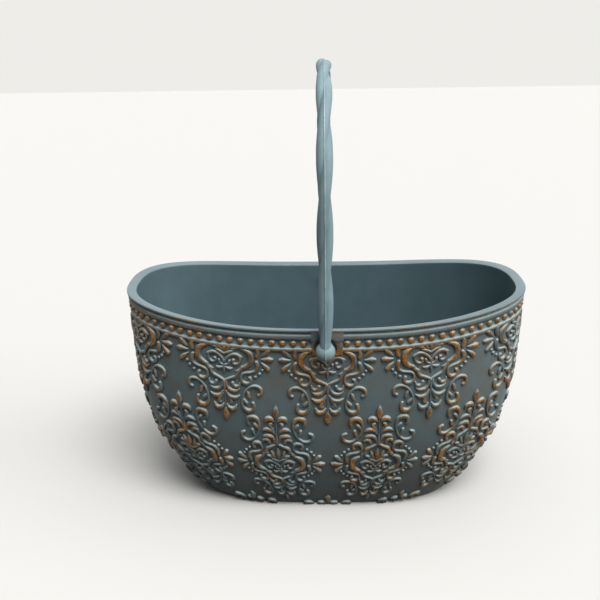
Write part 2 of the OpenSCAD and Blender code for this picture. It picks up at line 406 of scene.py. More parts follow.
@dataclass(frozen=True)
class MouldedPlastic:
    """Satin polypropylene with a fine mould grain and a copper paint rubbed over its high faces,
    plus painted shade at the feet of raised parts, towards the base and inside, and a painted
    highlight on faces that look up; on the handle the copper colours are pale, a painted highlight
    along the parting line.
    """

    name: str
    body: Colour
    shade: Colour
    # Copper paint on the tub; the handle sets these pale, as a painted highlight along its parting
    # line.
    copper_and_seam_highlight: Colour = linear(152, 108, 54)
    deep_copper_and_seam_highlight: Colour = linear(88, 66, 40)
    dust: Colour = linear(96, 87, 74)
    # Painted shade colour, laid at the feet of raised parts and low on the wall.
    painted_shade: Colour = linear(46, 40, 30)
    # Painted shade colour for the inside of the tub.
    inside_painted_shade: Colour = linear(62, 88, 96)
    # Painted highlight colour for faces that look up.
    pale: Colour = linear(166, 182, 182)
    roughness: float = 0.48
    roughness_spread: float = 0.12
    rubbed_smoothing: float = 0.08
    rubbed_metal: float = 0.35
    sheen_level: float = 0.12
    gloss: float = 0.8
    gloss_roughness: float = 0.22
    broad_scale: float = 14.0
    patch_scale: float = 70.0
    streak_scale: float = 420.0
    grain_scale: float = 1300.0
    grain_depth: float = 0.00022
    tone_span: tuple[float, float] = (0.3, 0.72)
    # Crest numbers over which the copper rub, and the handle's painted seam highlight, come in.
    copper_and_seam_span: tuple[float, float] = (0.46, 0.9)
    paint_span: tuple[float, float] = (0.3, 0.7)
    dust_span: tuple[float, float] = (0.42, 0.62)
    dusting: float = 0.34
    tint: float = 0.24
    # Painted shade at the feet of raised parts: the crest numbers over which it fades out, and its
    # strength.
    foot_shade_span: tuple[float, float] = (0.05, 0.5)
    foot_shade: float = 0.7
    # Painted highlight on outside faces that look up: its span, strength and cover.
    highlight_span: tuple[float, float] = (0.25, 0.75)
    highlight_strength: float = 0.7
    highlight_cover: float = 0.6
    # How far the painted shade darkens the inside.
    inside_shade_share: float = 0.35
    low_height: float = 0.13
    low_wear: float = 0.18
    # Strength of the painted shade that darkens the wall towards the base.
    base_painted_shade: float = 0.4

    def material(self) -> bpy.types.Material:
        """Builds the material.

        Returns:
            The material, which reads the mesh's crest, raised, outer, inner and upper numbers
            where it has them.
        """
        material, kit = new_material(self.name)
        where = kit.place()
        broad = kit.cloud(where, self.broad_scale, 4.0)
        patches = kit.cloud(where, self.patch_scale, 4.0, 0.6)
        streaks = kit.cloud(where, self.streak_scale, 3.0, 0.65)
        grain = kit.cloud(where, self.grain_scale, 2.0)
        crest = kit.stored("crest")
        outer = kit.stored("outer")
        upper = kit.stored("upper")

        tone = kit.blend(
            kit.ease(broad + (patches - 0.5) * 0.6, *self.tone_span), self.shade, self.body
        )
        wear = (broad - 0.5) * 0.7 + (patches - 0.5) * 0.8 + (streaks - 0.5) * 0.5
        height = kit.node("ShaderNodeSeparateXYZ", inputs={0: where}, output="Z")
        # The wall is darker towards the base: painted shade there, and thinner copper.
        low = outer * (1.0 - kit.ease(height, 0.0, self.low_height))
        # Copper rub over high faces on the tub; on the handle the same mask paints a highlight
        # along the parting line.
        copper_rub_and_seam_highlight = kit.ease(crest + wear - low * self.low_wear, *self.copper_and_seam_span)
        dusted = outer * (
            kit.ease(patches * 0.5 + broad * 0.5, *self.dust_span) * self.dusting + self.tint
        )
        # Painted shade at the feet of raised parts and towards the base, whichever is stronger.
        foot = kit.stored("raised") * (1.0 - kit.ease(crest, *self.foot_shade_span)) * self.foot_shade
        foot = kit.node(
            "ShaderNodeMath", {"operation": "MAXIMUM"}, {0: foot, 1: low * self.base_painted_shade}
        )
        paint = kit.blend(
            kit.ease(streaks + (patches - 0.5) * 0.9, *self.paint_span),
            self.deep_copper_and_seam_highlight,
            self.copper_and_seam_highlight,
        )
        # Painted highlight: outside faces that look up are lighter.
        painted_highlight = kit.ease(upper + (streaks - 0.5) * 0.4, *self.highlight_span)
        painted_highlight = outer * painted_highlight * self.highlight_strength
        # Painted shade: the inside of the tub is darker.
        tone = kit.blend(kit.stored("inner") * self.inside_shade_share, tone, self.inside_painted_shade)
        # Painted shade over the dusted tone.
        ground = kit.blend(foot, kit.blend(dusted, tone, self.dust), self.painted_shade)
        # The copper rub goes over the ground. On the handle that rub is a painted highlight along
        # the parting line. The painted highlight on faces that look up lies under it and again over
        # it.
        colour = kit.blend(copper_rub_and_seam_highlight, kit.blend(painted_highlight, ground, self.pale), paint)
        colour = kit.blend(painted_highlight * self.highlight_cover, colour, self.pale)
        rough = self.roughness + (patches - 0.5) * self.roughness_spread
        rough = rough - copper_rub_and_seam_highlight * self.rubbed_smoothing
        shader = kit.node(
            "ShaderNodeBsdfPrincipled",
            inputs={
                "Base Color": colour,
                "Roughness": rough,
                "Metallic": copper_rub_and_seam_highlight * self.rubbed_metal,
                "Specular IOR Level": self.sheen_level,
                "Coat Weight": upper * (1.0 - outer) * self.gloss,
                "Coat Roughness": self.gloss_roughness,
                "Normal": kit.bumps(grain * 0.5 + streaks * 0.5, self.grain_depth),
            },
        )
        give_surface(kit, shader)
        return material


class Finish(Enum):
    """The finishes of the basket."""

    TUB = MouldedPlastic("tub plastic", linear(106, 128, 134), linear(98, 119, 125))
    HANDLE = MouldedPlastic(
        "handle plastic",
        linear(132, 156, 162),
        linear(121, 145, 152),
        # Pale colours in place of copper: a painted highlight along the parting line.
        copper_and_seam_highlight=linear(168, 187, 190),
        deep_copper_and_seam_highlight=linear(146, 168, 173),
        dusting=0.0,
        grain_depth=0.00012,
    )


# The tub


@dataclass(frozen=True)
class TubShape:
    """Sizes of the tub, as its solid has them."""

    rim_length: float = 349.7
    rim_depth: float = 185.8
    rim_height: float = 192.0
    rim_dip: float = 12.0
    rim_square: float = 2.6
    base_length: float = 230.0
    base_depth: float = 126.0
    base_square: float = 3.0
    base_edge: float = 3.0
    wall: float = 2.6
    floor: float = 3.2
    floor_fillet: float = 5.0
    lip_width: float = 8.0
    lip_drop: float = 1.8
    lip_edge: float = 0.6
    lip_under_edge: float = 0.3
    lip_fall: float = 1.4
    groove_height: float = 2.4
    groove_inset: float = 2.6
    groove_edge: float = 0.4
    ledge_height: float = 5.0
    ledge_inset: float = 0.8
    band_height: float = 7.0
    band_inset: float = 3.2
    ridge_height: float = 3.8
    ridge_inset: float = 1.6
    field_inset: float = 3.8
    bead_width: float = 6.2
    bead_proud: float = 2.5
    bead_pitch: float = 8.7
    pad_width: float = 26.0
    cheek_width: float = 24.8
    pad_height: float = 20.4
    head_height: float = 8.0
    pad_inset: float = 0.6
    pad_bevel: float = 0.35
    pad_overlap: float = 1.0
    cheek_step: float = 0.6
    pad_shift: float = 1.5
    recess_width: float = 18.4
    recess_play: float = 0.3
    recess_overrun: float = 12.0
    bore_width: float = 8.6
    bore_reach: float = 8.0
    bore_overrun: float = 4.0
    pivot_drop: float = 15.5
    swell_power: float = 3.3
    dip_power: float = 4.0
    rise_power: float = 2.0

    @property
    def bands_drop(self) -> float:
        """Height of the lip and all bands together."""
        upper = self.lip_drop + self.groove_height + self.ledge_height
        return upper + self.band_height + self.ridge_height

    @property
    def field_top(self) -> float:
        """Height at which the plain wall ends under the ridge."""
        return self.rim_height - self.bands_drop

    @property
    def recess_seat(self) -> float:
        """Distance from the tub's middle to the bottom of a recess."""
        return self.rim_depth / 2 - self.field_inset - self.recess_play

    @property
    def pivot_height(self) -> float:
        """Height of the line that the handle turns about."""
        return self.rim_height - self.rim_dip - self.pivot_drop

    def swell(self, height: float | np.ndarray) -> float | np.ndarray:
        """Share of the way from the base outline to the rim outline at a height."""
        climbed = np.minimum(height, self.rim_height) / self.rim_height
        return 1.0 - (1.0 - climbed) ** self.swell_power

    def plan(self, height: float | np.ndarray, inset: float = 0.0) -> tuple:
        """Half length, half depth and squareness of the plain wall at a height."""
        share = self.swell(height)
        longer = self.rim_length / 2 - self.field_inset - self.base_length / 2
        deeper = self.rim_depth / 2 - self.field_inset - self.base_depth / 2
        long = self.base_length / 2 + longer * share
        deep = self.base_depth / 2 + deeper * share
        square = self.base_square + (self.rim_square - self.base_square) * height / self.rim_height
        return long - inset, deep - inset, square

    def outline(
        self,
        long: float | np.ndarray,
        deep: float | np.ndarray,
        square: float | np.ndarray,
        height: float | np.ndarray,
        turn: np.ndarray,
    ) -> np.ndarray:
        """Points of the tub at angles round it, with the dip of the long sides.

        Args:
            long: Half length of the level line.
            deep: Half depth.
            square: Squareness, 2 for an ellipse.
            height: Height at the two ends.
            turn: Angles round the outline, in radians.

        Returns:
            An array whose last axis is X, Y and Z.
        """
        along = long * signed_power(np.cos(turn), 2.0 / square)
        across = deep * signed_power(np.sin(turn), 2.0 / square)
        rise = np.minimum(1.0, height / self.field_top) ** self.rise_power
        drop = self.rim_dip * rise * np.abs(across / deep) ** self.dip_power
        return np.stack([along, across, height - drop], -1)

    def rim_line(self, inset: float, drop: float, turn: np.ndarray) -> np.ndarray:
        """Returns a level line of the lip and bands, by its inset and its drop below the rim."""
        return self.outline(
            self.rim_length / 2 - inset,
            self.rim_depth / 2 - inset,
            self.rim_square,
            self.rim_height - drop,
            turn,
        )

    def field_line(self, height: float, turn: np.ndarray, inset: float = 0.0) -> np.ndarray:
        """Returns a level line of the plain wall."""
        long, deep, square = self.plan(height, inset)
        return self.outline(long, deep, square, height, turn)

    def inner_line(self, height: float, turn: np.ndarray, inset: float = 0.0) -> np.ndarray:
        """Returns a level line of the inside of the wall."""
        long, deep, square = self.plan(height)
        reach = self.rim_length / 2 - self.field_inset - self.base_length / 2
        slope = reach * (self.swell(height + self.wall) - self.swell(height)) / self.wall
        thick = self.wall * math.hypot(1.0, float(slope))
        long = min(self.rim_length / 2 - self.lip_width, long - thick)
        deep = min(self.rim_depth / 2 - self.lip_width, deep - thick)
        return self.outline(long - inset, deep - inset, square, height, turn)


@dataclass
class Lap:
    """Lengths along a closed line round the tub, and the angles that belong to them."""

    turns: np.ndarray
    lengths: np.ndarray

    @classmethod
    def along(cls, line: np.ndarray, turns: np.ndarray) -> "Lap":
        """Measures a line in plan, from the angle it starts at."""
        steps = np.hypot(np.diff(line[:, 0]), np.diff(line[:, 1]))
        return cls(turns, np.concatenate([[0.0], np.cumsum(steps)]))

    @property
    def total(self) -> float:
        """Length of the whole lap."""
        return float(self.lengths[-1])

    def turn_at(self, length: float | np.ndarray) -> np.ndarray:
        """Angle at a length, which may run on past the lap's ends."""
        laps = np.floor(np.asarray(length) / self.total)
        return np.interp(length - laps * self.total, self.lengths, self.turns) + laps * TURN


class WallMap:
    """Lays flat ornament on the tub.

    Lengths along the wall start at the middle of the front, and lengths down it start at the
    foot of the ridge.
    """

    columns = 720
    levels = 260
    rows = 400
    row_span = (-6.0, 172.0)
    fine_steps = 40000
    reference_drop = 34.0
    top_drop = 14.0
    nudge = 0.4

    def __init__(self, shape: TubShape) -> None:
        """Measures the wall.

        Args:
            shape: Sizes of the tub.
        """
        self.shape = shape
        turns = np.linspace(-TURN / 4, TURN * 3 / 4, self.fine_steps + 1)
        reference = shape.field_line(shape.rim_height - self.reference_drop, turns)
        self.lap = Lap.along(reference, turns)
        heights = np.linspace(0.0, shape.rim_height - self.top_drop, self.levels)
        lengths = np.arange(self.columns + 1) * self.lap.total / self.columns
        wall = self._points(self.lap.turn_at(lengths)[:, None], heights[None, :])
        rise = np.linalg.norm(np.diff(wall, axis=1), axis=2)
        climbed = np.concatenate([np.zeros((self.columns + 1, 1)), np.cumsum(rise, axis=1)], axis=1)
        self.down = np.linspace(*self.row_span, self.rows)
        drops = [np.interp(shape.field_top, heights, row) - row for row in climbed]
        self.table = np.stack(
            [np.interp(self.down, drop[::-1], heights[::-1]) for drop in drops]
        )

    def _points(self, turn: np.ndarray, height: np.ndarray) -> np.ndarray:
        """Returns points of the plain wall at angles and heights."""
        turn, height = np.broadcast_arrays(turn, height)
        long, deep, square = self.shape.plan(height)
        return self.shape.outline(long, deep, square, height, turn)

    def height_at(self, along: np.ndarray, down: np.ndarray) -> np.ndarray:
        """Returns the heights, before the dip, of places along and down the wall."""
        column = (along % self.lap.total) / self.lap.total * self.columns
        row = (down - self.down[0]) / (self.down[1] - self.down[0])
        west = np.clip(column.astype(int), 0, self.columns - 1)
        high = np.clip(row.astype(int), 0, self.rows - 2)
        across, below = column - west, np.clip(row - high, 0.0, 1.0)
        sides = [
            self.table[at, high] * (1 - below) + self.table[at, high + 1] * below
            for at in (west, west + 1)
        ]
        return sides[0] * (1 - across) + sides[1] * across

    def lay(self, along: np.ndarray, down: np.ndarray, proud: np.ndarray) -> np.ndarray:
        """Places flat points on the wall.

        Args:
            along: Lengths along the wall.
            down: Lengths down it.
            proud: Distances that the points stand out from it.

        Returns:
            Rows of X, Y and Z.
        """
        height = self.height_at(along, down)
        centre = self._points(self.lap.turn_at(along), height)
        side = self._points(self.lap.turn_at(along + self.nudge), height)
        side = side - self._points(self.lap.turn_at(along - self.nudge), height)
        up = self._points(self.lap.turn_at(along), height + self.nudge)
        up = up - self._points(self.lap.turn_at(along), height - self.nudge)
        normal = np.cross(side, up)
        normal /= np.linalg.norm(normal, axis=1, keepdims=True)
        return centre + normal * proud[:, None]


@dataclass
class Tub:
    """The moulded tub: wall, floor, lip, bands, beads and pivot pads."""

    shape: TubShape
    around: int = 320
    fine_steps: int = 40000
    wall_steps: int = 44
    moulding_steps: int = 10
    inner_steps: int = 24
    inner_crowding: float = 1.4
    round_steps: int = 72
    edge_steps: int = 6
    lip_steps: int = 4
    crest_power: float = 1.5
    ridge_lean: float = 0.6
    ledge_lean: float = 0.8
    ledge_wear: float = 0.7
    under_lip_wear: float = 0.3
    lip_face_wear: float = 0.45
    lip_edge_wear: float = 0.75
    bead_foot_wear: float = 0.3
    bead_wear: float = 0.85
    pad_wear: float = 0.2
    pad_corner_wear: float = 0.5
    pad_corner: float = 3.0
    turns: np.ndarray = field(init=False)

    def __post_init__(self) -> None:
        """Spaces the points round the tub evenly."""
        fine = np.linspace(0.0, TURN, self.fine_steps + 1)
        lap = Lap.along(self.shape.rim_line(0.0, 0.0, fine), fine)
        self.turns = lap.turn_at((np.arange(self.around) + 0.5) * lap.total / self.around)

    def moulding(self, drop: float, height: float, foot: float, crest: float, lean: float) -> list:
        """Returns the level lines of a rounded moulding.

        Args:
            drop: Drop of its top below the rim.
            height: Its height.
            foot: Its inset at top and bottom.
            crest: Its inset at the middle.
            lean: Angle by which the worn part lies below the middle, in radians.

        Returns:
            The lines from the top down, each with its crest number.
        """
        lines = []
        for step in range(self.moulding_steps + 1):
            angle = math.pi * step / self.moulding_steps
            inset = foot + (crest - foot) * math.sin(angle)
            line = self.shape.rim_line(inset, drop + height * (1 - math.cos(angle)) / 2, self.turns)
            lines.append((line, max(0.0, math.sin(angle - lean)) ** self.crest_power))
        return lines

    def outside(self) -> list:
        """Returns the level lines from the base up to the lip, each with its crest number."""
        shape, turns = self.shape, self.turns
        lines = []
        for step in range(self.edge_steps):
            angle = math.pi / 2 * step / self.edge_steps
            height = shape.base_edge * (1 - math.cos(angle))
            inset = shape.base_edge * (1 - math.sin(angle))
            lines.append((shape.field_line(height, turns, inset), 0.0))
        for step in range(self.wall_steps + 1):
            rise = (shape.field_top - shape.base_edge) * step / self.wall_steps
            lines.append((shape.field_line(shape.base_edge + rise, turns), 0.0))
        groove = shape.lip_drop + shape.groove_height
        band = groove + shape.ledge_height
        ridge = self.moulding(
            band + shape.band_height,
            shape.ridge_height,
            shape.band_inset,
            shape.ridge_inset,
            self.ridge_lean,
        )
        ledge = self.moulding(
            groove, shape.ledge_height, shape.groove_inset, shape.ledge_inset, self.ledge_lean
        )
        lines += reversed(ridge)
        lines.append((shape.rim_line(shape.band_inset, band + shape.groove_edge, turns), 0.0))
        lines += [(line, self.ledge_wear * crest) for line, crest in reversed(ledge)]
        under = shape.lip_under_edge
        corners = (
            (shape.groove_inset, shape.lip_drop + under, 0.0),
            (shape.groove_inset - shape.groove_edge, shape.lip_drop, 0.0),
            (under, shape.lip_drop, self.under_lip_wear),
            (0.0, shape.lip_drop - under, self.lip_face_wear),
        )
        return lines + [(shape.rim_line(inset, drop, turns), wear) for inset, drop, wear in corners]

    def lip(self) -> list:
        """Returns the level lines of the lip's top, which falls a little, from the outside in."""
        shape = self.shape
        outer, inner = [], []
        for step in range(self.lip_steps + 1):
            angle = math.pi / 2 * step / self.lip_steps
            near = shape.lip_edge * (1 - math.cos(angle))
            far = shape.lip_edge * (1 - math.sin(angle))
            wear = self.lip_edge_wear * (1 - step / self.lip_steps)
            outer.append((shape.rim_line(near, far, self.turns), wear))
            inset, drop = shape.lip_width - far, shape.lip_fall + near
            inner.append((shape.rim_line(inset, drop, self.turns), 0.0))
        return outer + inner

    def inside(self) -> list:
        """Returns the level lines of the inside, from the lip down to the floor."""
        shape = self.shape
        top = shape.rim_height - shape.lip_fall - shape.lip_drop
        bottom = shape.floor + shape.floor_fillet
        lines = []
        for step in range(self.inner_steps + 1):
            share = 1 - (1 - step / self.inner_steps) ** self.inner_crowding
            lines.append((shape.inner_line(top + (bottom - top) * share, self.turns), 0.0))
        for step in range(1, self.edge_steps + 1):
            angle = math.pi / 2 * step / self.edge_steps
            height = bottom - shape.floor_fillet * math.sin(angle)
            inset = shape.floor_fillet * (1 - math.cos(angle))
            lines.append((shape.inner_line(height, self.turns, inset), 0.0))
        return lines

    def build_wall(self) -> bpy.types.Object:
        """Builds the tub's shell as one closed mesh, with the recesses and bores cut.

        Returns:
            The shell.
        """
        outside, lip, inside = self.outside(), self.lip(), self.inside()
        lines = [*outside, *lip, *inside]
        bm = bmesh.new()
        crest_layer = bm.verts.layers.float.new("crest")
        outer_layer = bm.verts.layers.float.new("outer")
        inner_layer = bm.verts.layers.float.new("inner")
        rows = loft(bm, [line for line, _ in lines])
        for number, (row, (_, crest)) in enumerate(zip(rows, lines)):
            for vert in row:
                vert[crest_layer] = crest
                vert[outer_layer] = 1.0 if number < len(outside) else 0.0
                # The inside's mark, by which the finish darkens it with painted shade.
                vert[inner_layer] = 1.0 if number >= len(outside) + len(lip) else 0.0
        shell = make_piece("tub_shell", bm)
        shape, seat = self.shape, self.shape.recess_seat
        recess = shape.recess_width + 2 * shape.recess_play
        cuts = (
            (recess, seat, seat + shape.recess_overrun),
            (shape.bore_width, seat - shape.bore_reach, seat + shape.bore_overrun),
        )
        for side in (-1, 1):
            for width, start, end in cuts:
                carve(shell, self.pivot_cutter(side, width, start, end))
        return shell

    def pivot_cutter(self, side: int, width: float, start: float, end: float) -> bpy.types.Object:
        """Makes a round tool on the pivots' line.

        Args:
            side: -1 for the front pivot and 1 for the back one.
            width: Its diameter.
            start: Distance of its inner end from the tub's middle.
            end: Distance of its outer end.

        Returns:
            The tool.
        """
        bm = bmesh.new()
        middle = Matrix.Translation((0.0, side * (start + end) / 2, self.shape.pivot_height))
        bmesh.ops.create_cone(
            bm,
            cap_ends=True,
            segments=self.round_steps,
            radius1=width / 2,
            radius2=width / 2,
            depth=end - start,
            matrix=middle @ Matrix.Rotation(TURN / 4, 4, "X"),
        )
        return make_piece("cutter", bm)

    def build_beads(self) -> bpy.types.Object:
        """Builds the row of beads, a whole number to each quarter of the band.

        Returns:
            The beads as one piece.
        """
        shape = self.shape
        inset = shape.band_inset + shape.bead_width / 2 - shape.bead_proud
        drop = shape.bands_drop - shape.ridge_height - shape.band_height / 2
        turns = np.linspace(0.0, TURN / 4, 10001)
        lap = Lap.along(shape.rim_line(inset, drop, turns), turns)
        span = lap.total - shape.pad_width / 2
        count = round(span / shape.bead_pitch)
        spots = lap.turn_at((np.arange(count) + 0.5) * span / count)
        bm = bmesh.new()
        for place in shape.rim_line(inset, drop, spots):
            for along in (-1, 1):
                for across in (-1, 1):
                    spot = Matrix.Translation((along * place[0], across * place[1], place[2]))
                    bmesh.ops.create_icosphere(
                        bm, subdivisions=3, radius=shape.bead_width / 2, matrix=spot
                    )
        beads = make_piece("bead_row", bm, crisp=80.0)
        places = places_of(beads)
        long, deep = shape.rim_length / 2 - inset, shape.rim_depth / 2 - inset
        square = shape.rim_square
        reach = np.abs(places[:, 0] / long) ** square + np.abs(places[:, 1] / deep) ** square
        slope = square * np.hypot(
            np.abs(places[:, 0] / long) ** (square - 1) / long,
            np.abs(places[:, 1] / deep) ** (square - 1) / deep,
        )
        proud = (reach - 1.0) / slope / (shape.bead_width / 2)
        # Low crest numbers at the beads' feet, with the raised mark, give painted shade there as
        # well as less copper.
        store(beads, "crest", np.clip(self.bead_foot_wear + self.bead_wear * proud, 0.0, 1.0))
        store(beads, "raised", np.ones(len(places)))
        store(beads, "outer", np.ones(len(places)))
        return beads

    def build_pads(self) -> bpy.types.Object:
        """Builds the two pivot pads: a wide head under the lip, and cheeks beside the ball.

        Returns:
            Both pads as one piece.
        """
        shape = self.shape
        top = shape.rim_height - shape.rim_dip - shape.lip_drop
        face = shape.rim_depth / 2 - shape.pad_inset
        root = shape.rim_depth / 2 - shape.lip_width + shape.wall / 2
        split = top - shape.head_height
        joint = split + shape.pad_overlap
        blocks = (
            (shape.pad_width, root, face, split, top),
            (shape.cheek_width, root, face - shape.cheek_step, top - shape.pad_height, joint),
        )
        bm = bmesh.new()
        for side in (-1, 1):
            for width, back, front, low, high in blocks:
                spot = (-side * shape.pad_shift, side * (back + front) / 2, (low + high) / 2)
                placed = Matrix.Translation(spot) @ Matrix.Diagonal(
                    (width, front - back, high - low, 1.0)
                )
                cube = bmesh.ops.create_cube(bm, size=1.0, matrix=placed)["verts"]
                bmesh.ops.bevel(
                    bm,
                    geom=list({edge for vert in cube for edge in vert.link_edges}),
                    offset=shape.pad_bevel,
                    segments=3,
                    profile=0.5,
                    affect="EDGES",
                    material=-1,
                )
        pads = make_piece("pivot_pads", bm, crisp=50.0)
        start, end = root - shape.pad_overlap, face + shape.pad_overlap
        for side in (-1, 1):
            cutter = self.pivot_cutter(side, shape.recess_width, start, end)
            carve(pads, cutter, crisp=50.0, merge=True)
        places = places_of(pads)
        aside = np.abs(places[:, 0] - np.where(places[:, 1] < 0.0, 1.0, -1.0) * shape.pad_shift)
        corner = np.clip((aside - shape.pad_width / 2) / self.pad_corner + 1.0, 0.0, 1.0)
        head_wear = self.pad_wear + self.pad_corner_wear * corner
        # The cheeks get full copper and no painted shade. The head gets little copper, more towards
        # its corners, and the raised mark, so the finish paints shade on it.
        store(pads, "crest", np.where(places[:, 2] < split, 1.0, head_wear))
        store(pads, "raised", np.where(places[:, 2] < split, 0.0, 1.0))
        store(pads, "outer", np.ones(len(places)))
        return pads


# The damask relief


class Repeat(Enum):
    """How a stroke of the medallion is repeated about its middle."""

    QUARTERS = ((1, 1), (-1, 1), (1, -1), (-1, -1))
    SIDES = ((1, 1), (-1, 1))
    ENDS = ((1, 1), (1, -1))
    ONCE = ((1, 1),)


@dataclass(frozen=True)
class Stroke:
    """One raised stroke of the medallion.

    Each point is a place right of and below the medallion's middle, and half the width there.
    """

    repeat: Repeat
    points: tuple[Triple, ...]
    crown: bool = False


HEART = (
    Stroke(
        Repeat.QUARTERS,
        (
            (14.5, 8.0, 1.0), (13.3, 10.2, 1.1), (11.4, 12.3, 1.1), (10.4, 14.8, 1.1),
            (8.9, 17.0, 1.1), (5.8, 18.5, 1.0), (2.4, 20.2, 0.9), (0.2, 21.7, 0.8),
        ),
    ),
    Stroke(Repeat.QUARTERS, ((12.8, 10.6, 1.0), (11.0, 11.7, 0.9), (9.4, 12.0, 0.4))),
    Stroke(
        Repeat.SIDES,
        (
            (14.6, -8.2, 0.8), (16.9, -7.3, 1.3), (19.3, -5.7, 1.7), (21.1, -3.2, 1.9),
            (21.6, 0.0, 1.9), (21.1, 3.2, 1.9), (19.3, 5.7, 1.7), (16.9, 7.3, 1.4),
            (14.6, 8.2, 1.0),
        ),
    ),
)

SIDE_SCROLLS = (
    Stroke(
        Repeat.QUARTERS,
        (
            (25.9, 2.6, 1.2), (26.8, 5.6, 1.4), (26.3, 8.8, 1.2), (24.3, 11.0, 1.0),
            (21.5, 12.0, 0.9), (18.3, 12.5, 0.9), (15.4, 13.7, 0.9), (13.8, 16.2, 0.9),
            (14.0, 19.2, 1.0), (15.6, 21.6, 1.2), (18.4, 22.4, 1.3), (21.0, 21.2, 1.1),
            (21.8, 18.9, 1.0), (20.8, 17.2, 1.1),
        ),
    ),
    Stroke(
        Repeat.QUARTERS,
        (
            (27.8, 32.4, 1.0), (29.8, 31.2, 1.1), (30.2, 28.3, 1.1), (28.6, 25.5, 1.0),
            (25.2, 24.2, 1.0), (21.6, 25.0, 0.9), (18.6, 27.6, 0.8), (16.2, 31.2, 0.8),
            (14.7, 35.4, 0.8), (14.1, 39.8, 0.9), (14.7, 43.8, 1.1), (16.9, 46.8, 1.4),
            (20.2, 47.7, 1.7), (23.1, 46.2, 1.5), (24.0, 43.0, 1.2), (23.2, 40.3, 1.0),
        ),
    ),
    Stroke(Repeat.QUARTERS, ((18.2, 28.8, 0.5), (19.5, 32.0, 1.1), (20.4, 35.0, 1.1))),
    Stroke(Repeat.QUARTERS, ((14.7, 36.2, 0.6), (16.3, 38.7, 1.1), (18.0, 40.6, 1.1))),
)

STACK = (
    Stroke(
        Repeat.QUARTERS,
        (
            (12.8, 22.4, 0.5), (12.0, 25.0, 1.0), (9.7, 26.1, 1.2), (7.6, 25.0, 1.1),
            (6.7, 23.0, 1.1),
        ),
    ),
    Stroke(
        Repeat.QUARTERS,
        (
            (1.5, 22.6, 0.7), (2.3, 26.4, 0.9), (4.4, 29.2, 1.2), (7.5, 30.1, 1.4),
            (10.4, 29.3, 1.1), (12.2, 27.6, 0.5),
        ),
    ),
    Stroke(
        Repeat.QUARTERS,
        ((1.2, 31.4, 0.5), (3.2, 34.6, 1.0), (6.0, 36.4, 1.5), (9.2, 36.2, 1.3), (12.0, 34.4, 0.5)),
    ),
    Stroke(
        Repeat.QUARTERS,
        ((1.3, 33.6, 0.4), (3.0, 36.6, 0.7), (4.7, 38.8, 1.0), (5.2, 40.9, 1.3), (4.1, 42.1, 1.0)),
    ),
    Stroke(
        Repeat.QUARTERS,
        ((1.6, 43.8, 0.6), (2.8, 46.1, 1.3), (5.6, 47.4, 1.7), (8.1, 46.2, 1.4), (9.3, 43.6, 0.6)),
    ),
    Stroke(
        Repeat.ENDS,
        ((0.0, 22.0, 1.1), (0.0, 27.0, 1.0), (0.0, 33.0, 0.5), (0.0, 41.0, 0.5), (0.0, 46.0, 0.6)),
    ),
    Stroke(
        Repeat.ENDS,
        ((0.0, 46.0, 0.5), (0.0, 48.8, 1.4), (0.0, 52.6, 2.4), (0.0, 56.2, 1.6), (0.0, 59.2, 0.25)),
    ),
)

FANS = (
    Stroke(Repeat.QUARTERS, ((30.3, 3.0, 0.5), (33.0, 5.6, 1.3), (35.3, 8.2, 1.5))),
    Stroke(
        Repeat.SIDES,
        ((30.4, -0.4, 0.6), (33.6, -0.4, 1.4), (36.4, -0.4, 1.9), (38.0, -0.4, 1.3)),
    ),
    Stroke(Repeat.QUARTERS, ((31.0, 9.5, 1.0),)),
    Stroke(Repeat.QUARTERS, ((28.7, 13.0, 1.2),)),
    Stroke(Repeat.QUARTERS, ((25.3, 16.0, 1.1),)),
)

SPIRALS = (
    Stroke(
        Repeat.SIDES,
        (
            (0.2, 4.8, 0.8), (1.4, 2.2, 0.85), (3.6, -0.5, 0.95), (6.4, -2.5, 1.05),
            (9.4, -2.9, 1.1), (12.0, -1.5, 1.0), (13.0, 1.0, 0.9), (12.4, 3.7, 0.85),
            (10.4, 5.6, 0.9), (7.9, 5.5, 0.85), (6.8, 3.9, 0.85), (7.4, 2.5, 1.1),
        ),
    ),
    Stroke(Repeat.SIDES, ((11.8, -1.8, 0.9), (13.2, -1.3, 0.8), (14.6, -0.3, 0.4))),
    Stroke(Repeat.SIDES, ((0.3, 7.3, 0.7), (2.3, 6.8, 0.8), (3.8, 5.3, 0.85), (4.2, 3.6, 0.95))),
    Stroke(Repeat.SIDES, ((0.6, 8.9, 0.7), (2.6, 9.9, 1.0), (4.6, 10.4, 1.0), (6.3, 9.9, 0.5))),
    Stroke(Repeat.ONCE, ((0.0, 3.4, 0.8), (0.0, 7.0, 0.65), (0.0, 11.0, 0.9), (0.0, 15.2, 0.4))),
    Stroke(
        Repeat.SIDES,
        ((0.4, -2.8, 0.8), (3.2, -4.3, 1.1), (5.6, -5.4, 1.0), (7.6, -6.0, 0.4)),
        True,
    ),
    Stroke(
        Repeat.SIDES,
        ((1.6, -5.8, 0.6), (3.5, -8.0, 1.0), (5.0, -10.6, 1.3), (5.7, -13.0, 0.6)),
        True,
    ),
    Stroke(Repeat.SIDES, ((4.6, -6.6, 0.6), (7.0, -8.0, 1.1), (9.2, -8.6, 1.0)), True),
    Stroke(
        Repeat.ONCE,
        ((0.0, -5.4, 0.7), (0.0, -9.2, 1.7), (0.0, -12.8, 1.5), (0.0, -16.0, 0.3)),
        True,
    ),
)

MEDALLION = (*HEART, *SIDE_SCROLLS, *STACK, *FANS, *SPIRALS)


